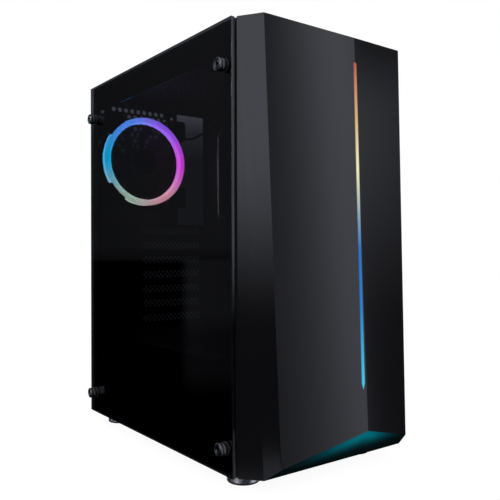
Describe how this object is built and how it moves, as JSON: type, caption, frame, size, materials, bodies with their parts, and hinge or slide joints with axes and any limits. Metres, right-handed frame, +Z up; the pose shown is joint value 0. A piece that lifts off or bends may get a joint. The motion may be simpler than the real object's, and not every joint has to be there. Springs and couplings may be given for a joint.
{
  "type": "desktop computer tower",
  "caption": "Black desktop computer tower: tinted side glass held by thumbscrews, a faceted front with a lit strip, a lit rear fan, and an open bay for board, drives and power supply.",
  "frame": {"origin": "on the floor, under the middle of the whole tower's box", "axes": "+Z up, +Y towards the rear, +X towards the solid right side panel; the lit front faces -Y and the glass side faces -X"},
  "size_m": [0.219, 0.3714, 0.436],
  "materials": {
    "black_steel": "fine matte powder coat",
    "dark_steel": "satin paint",
    "slot_steel": "satin paint",
    "bright_steel": "zinc plated",
    "brass": "plain",
    "tinted_glass": "smoked, tempered",
    "black_rubber": "matt",
    "black_plastic": "fine moulded grain",
    "bezel_plastic": "fine sparkle paint",
    "screw_black": "black oxide",
    "foot_silver": "bright satin",
    "circuit_green": "solder mask",
    "circuit_white": "solder mask",
    "port_blue": "plain",
    "filter_black": "fine woven mesh",
    "lead_black": "sleeved",
    "ring_light": "lit diffuser",
    "strip_light": "lit diffuser",
    "glow_light": "lit from above"
  },
  "bodies": {
    "chassis": {"base_pan": "black_steel", "rear_panel": "black_steel", "motherboard_tray": "dark_steel", "front_frame": "black_steel", "top_panel": "black_steel", "psu_shroud": "dark_steel", "drive_cage": "dark_steel", "ssd_bracket": "dark_steel", "slot_covers": "slot_steel", "slot_screws": "bright_steel", "slot_screw_cover": "black_steel", "cover_screw": "bright_steel", "board_standoffs": "brass", "psu_pads": "black_rubber", "feet": "black_plastic", "foot_rings": "foot_silver", "foot_pads": "black_rubber", "foot_screws": "bright_steel", "panel_standoffs": "screw_black", "filter_rails": "black_steel", "fan_frame": "black_plastic", "fan_light_ring": "ring_light", "fan_stator": "black_plastic", "fan_bearing": "brass", "fan_screws": "bright_steel", "fan_cable": "lead_black", "light_hub": "black_plastic", "io_housing": "black_plastic", "io_board": "circuit_green", "button_switches": "black_plastic", "usb_sockets": "bright_steel", "usb_tongues": "port_blue", "audio_jacks": "black_plastic", "front_contact": "black_plastic"},
    "side_glass": {"glass_panel": "tinted_glass", "glass_grommets": "black_rubber"},
    "screw_front_upper": {"thumbscrew_front_upper": "screw_black"},
    "screw_front_lower": {"thumbscrew_front_lower": "screw_black"},
    "screw_rear_upper": {"thumbscrew_rear_upper": "screw_black"},
    "screw_rear_lower": {"thumbscrew_rear_lower": "screw_black"},
    "right_side": {"right_panel": "black_steel"},
    "right_upper_screw": {"right_screw_upper": "screw_black"},
    "right_lower_screw": {"right_screw_lower": "screw_black"},
    "bezel": {"front_bezel": "bezel_plastic", "light_diffuser": "strip_light", "light_bar_board": "circuit_white", "underglow_panel": "glow_light", "bezel_clips": "black_plastic", "bezel_contact": "brass"},
    "power_key": {"power_button": "black_plastic"},
    "reset_key": {"reset_button": "black_plastic"},
    "fan_wheel": {"fan_rotor": "black_plastic", "fan_shaft": "bright_steel"},
    "top_filter": {"top_filter_frame": "black_plastic", "top_filter_mesh": "filter_black"},
    "base_filter": {"psu_filter_frame": "black_plastic", "psu_filter_mesh": "filter_black"}
  },
  "joints": [
    {"name": "side_glass_off", "type": "slide", "parent": "chassis", "child": "side_glass", "axis": [-1, 0, 0], "range_m": [0, 0.06]},
    {"name": "screw_front_upper_turn", "type": "hinge", "parent": "side_glass", "child": "screw_front_upper", "pos_m": [-0.1055, -0.13945, 0.3915], "axis": [1, 0, 0], "continuous": true},
    {"name": "screw_front_lower_turn", "type": "hinge", "parent": "side_glass", "child": "screw_front_lower", "pos_m": [-0.1055, -0.13945, 0.039], "axis": [1, 0, 0], "continuous": true},
    {"name": "screw_rear_upper_turn", "type": "hinge", "parent": "side_glass", "child": "screw_rear_upper", "pos_m": [-0.1055, 0.15655, 0.3915], "axis": [1, 0, 0], "continuous": true},
    {"name": "screw_rear_lower_turn", "type": "hinge", "parent": "side_glass", "child": "screw_rear_lower", "pos_m": [-0.1055, 0.15655, 0.039], "axis": [1, 0, 0], "continuous": true},
    {"name": "right_side_off", "type": "slide", "parent": "chassis", "child": "right_side", "axis": [0, 1, 0], "range_m": [0, 0.34]},
    {"name": "right_upper_screw_turn", "type": "hinge", "parent": "right_side", "child": "right_upper_screw", "pos_m": [0.1005, 0.17955, 0.349], "axis": [0, 1, 0], "continuous": true},
    {"name": "right_lower_screw_turn", "type": "hinge", "parent": "right_side", "child": "right_lower_screw", "pos_m": [0.1005, 0.17955, 0.143], "axis": [0, 1, 0], "continuous": true},
    {"name": "bezel_off", "type": "slide", "parent": "chassis", "child": "bezel", "axis": [0, -1, 0], "range_m": [0, 0.05]},
    {"name": "power_press", "type": "slide", "parent": "chassis", "child": "power_key", "axis": [0, 0, -1], "range_m": [0, 0.002], "stiffness_N_per_m": 250, "springref_m": -0.002},
    {"name": "reset_press", "type": "slide", "parent": "chassis", "child": "reset_key", "axis": [0, 0, -1], "range_m": [0, 0.0015], "stiffness_N_per_m": 200, "springref_m": -0.002},
    {"name": "fan_spin", "type": "hinge", "parent": "chassis", "child": "fan_wheel", "pos_m": [-0.0289, 0.15955, 0.3422], "axis": [0, 1, 0], "continuous": true},
    {"name": "top_filter_off", "type": "slide", "parent": "chassis", "child": "top_filter", "axis": [0, 0, 1], "range_m": [0, 0.03]},
    {"name": "base_filter_out", "type": "slide", "parent": "chassis", "child": "base_filter", "axis": [0, 1, 0], "range_m": [0, 0.15]}
  ]
}
